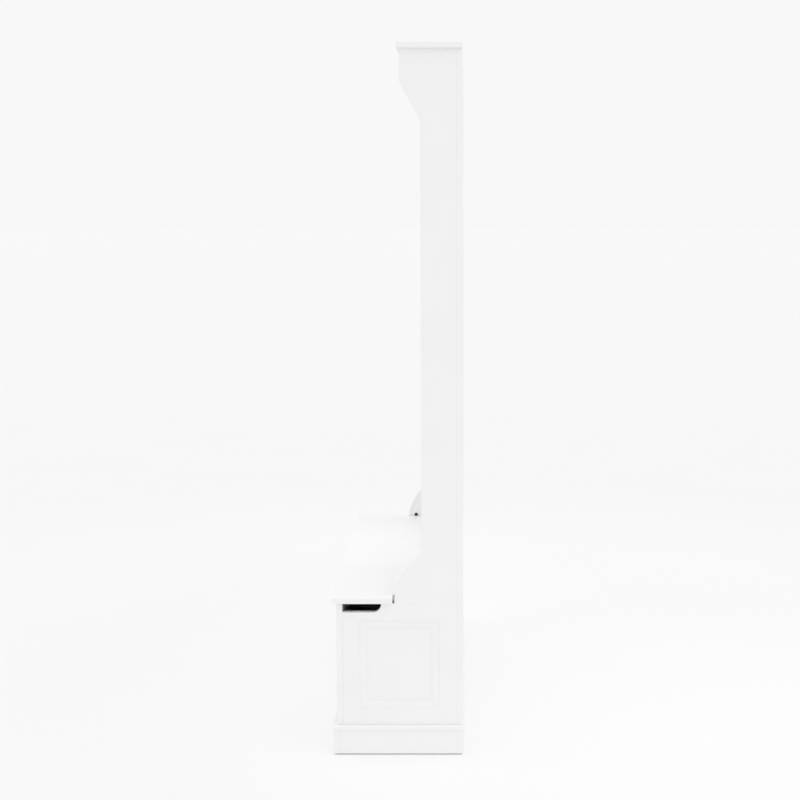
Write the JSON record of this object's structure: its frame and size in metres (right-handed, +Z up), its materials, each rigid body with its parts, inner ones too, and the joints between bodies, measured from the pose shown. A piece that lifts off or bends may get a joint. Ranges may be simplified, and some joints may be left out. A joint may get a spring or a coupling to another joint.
{
  "type": "hall tree",
  "caption": "White painted hall tree: flip-top storage bench with a panelled back between tall shaped sides, a row of double coat hooks and a flat cap.",
  "frame": {"origin": "on the floor, at the middle of the base's length and depth", "axes": "+X along the width, -Y towards the person who sits or hangs a coat, +Z up"},
  "size_m": [1, 0.347, 1.86],
  "materials": {
    "white_paint": "satin white paint",
    "raw_wood": "bare sanded pine",
    "hook_bronze": "dark bronze, satin",
    "steel": "zinc plated",
    "cam_zinc": "dark zinc casting",
    "bumper_rubber": "soft translucent",
    "glide_plastic": "moulded nylon"
  },
  "bodies": {
    "cabinet": {"plinth_front": "white_paint", "plinth_back": "white_paint", "plinth_left": "white_paint", "plinth_right": "white_paint", "base_board": "white_paint", "bench_side_left": "white_paint", "bench_side_right": "white_paint", "bench_front": "white_paint", "hinge_rail": "white_paint", "bench_divider": "white_paint", "rear_seat_strip": "white_paint", "seat_cleats": "white_paint", "hutch_side_left": "white_paint", "hutch_side_right": "white_paint", "back_post_left": "white_paint", "back_post_right": "white_paint", "bench_back": "white_paint", "back_seat_rail": "white_paint", "back_hook_rail": "white_paint", "back_top_rail": "white_paint", "back_panel_lower": "white_paint", "back_panel_upper": "white_paint", "cap": "white_paint", "valance": "white_paint", "hook_rail": "white_paint", "plinth_middle_bearer": "raw_wood", "corner_blocks": "raw_wood", "wood_dowels": "raw_wood", "coat_hook_1": "hook_bronze", "coat_hook_2": "hook_bronze", "coat_hook_3": "hook_bronze", "coat_hook_4": "hook_bronze", "coat_hook_5": "hook_bronze", "hook_screws": "hook_bronze", "hinge_leaf_rear": "steel", "hinge_pins": "steel", "hinge_screws_rear": "steel", "cam_bolts": "steel", "back_screws": "steel", "base_screws": "steel", "cleat_screws": "steel", "seat_strip_screws": "steel", "hook_rail_screws": "steel", "cam_locks": "cam_zinc", "lid_bumpers": "bumper_rubber", "floor_glides": "glide_plastic"},
    "lid": {"lid": "white_paint", "hinge_leaf_lid": "steel", "hinge_screws_lid": "steel"}
  },
  "joints": [
    {"name": "lid_hinge", "type": "hinge", "parent": "cabinet", "child": "lid", "pos_m": [0, 0.1075, 0.426], "axis": [-1, 0, 0], "range_deg": [0, 65]}
  ]
}
